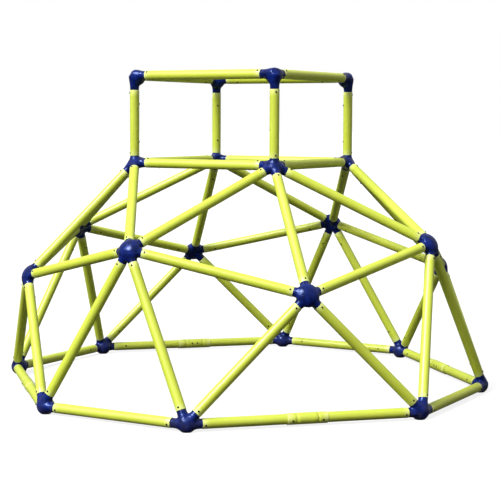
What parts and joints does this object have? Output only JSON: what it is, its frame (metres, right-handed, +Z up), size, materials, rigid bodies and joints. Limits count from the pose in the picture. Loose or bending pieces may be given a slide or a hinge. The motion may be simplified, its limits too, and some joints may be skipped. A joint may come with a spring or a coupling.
{
  "type": "dome climber",
  "caption": "Free-standing faceted dome climbing frame for children: plastic tubes screwed into moulded hubs, with an open square cage above the deck.",
  "frame": {"origin": "on the ground under the middle of the dome", "axes": "+Z up; the four cage sides face -Y (front), +X (right), +Y (back) and -X (left)"},
  "size_m": [1.9468, 1.9468, 1.3015],
  "materials": {
    "tube_plastic": "semi-gloss lime green plastic tube",
    "hub_plastic": "glossy dark blue moulded plastic",
    "screw_steel": "black-coated steel screws"
  },
  "bodies": {
    "root": {"ground_hub_front_a": "hub_plastic", "ground_hub_front_b": "hub_plastic", "ground_hub_right_a": "hub_plastic", "ground_hub_right_b": "hub_plastic", "ground_hub_back_a": "hub_plastic", "ground_hub_back_b": "hub_plastic", "ground_hub_left_a": "hub_plastic", "ground_hub_left_b": "hub_plastic", "side_hub_front": "hub_plastic", "side_hub_right": "hub_plastic", "side_hub_back": "hub_plastic", "side_hub_left": "hub_plastic", "corner_hub_front_right": "hub_plastic", "corner_hub_back_right": "hub_plastic", "corner_hub_back_left": "hub_plastic", "corner_hub_front_left": "hub_plastic", "deck_hub_front_right": "hub_plastic", "deck_hub_back_right": "hub_plastic", "deck_hub_back_left": "hub_plastic", "deck_hub_front_left": "hub_plastic", "cage_hub_front_right": "hub_plastic", "cage_hub_back_right": "hub_plastic", "cage_hub_back_left": "hub_plastic", "cage_hub_front_left": "hub_plastic", "ground_side_tube_front": "tube_plastic", "deck_rail_front": "tube_plastic", "cage_rail_front": "tube_plastic", "ground_side_tube_right": "tube_plastic", "deck_rail_right": "tube_plastic", "cage_rail_right": "tube_plastic", "ground_side_tube_back": "tube_plastic", "deck_rail_back": "tube_plastic", "cage_rail_back": "tube_plastic", "ground_side_tube_left": "tube_plastic", "deck_rail_left": "tube_plastic", "cage_rail_left": "tube_plastic", "ground_corner_tubes_front_right": "tube_plastic", "leg_tubes_front_right": "tube_plastic", "ring_tubes_front_right": "tube_plastic", "riser_tubes_front_right": "tube_plastic", "cage_post_front_right": "tube_plastic", "ground_corner_tubes_back_right": "tube_plastic", "leg_tubes_back_right": "tube_plastic", "ring_tubes_back_right": "tube_plastic", "riser_tubes_back_right": "tube_plastic", "cage_post_back_right": "tube_plastic", "ground_corner_tubes_back_left": "tube_plastic", "leg_tubes_back_left": "tube_plastic", "ring_tubes_back_left": "tube_plastic", "riser_tubes_back_left": "tube_plastic", "cage_post_back_left": "tube_plastic", "ground_corner_tubes_front_left": "tube_plastic", "leg_tubes_front_left": "tube_plastic", "ring_tubes_front_left": "tube_plastic", "riser_tubes_front_left": "tube_plastic", "cage_post_front_left": "tube_plastic", "splice_sleeves": "tube_plastic", "ground_screws": "screw_steel", "wall_screws": "screw_steel", "top_screws": "screw_steel"}
  },
  "joints": []
}
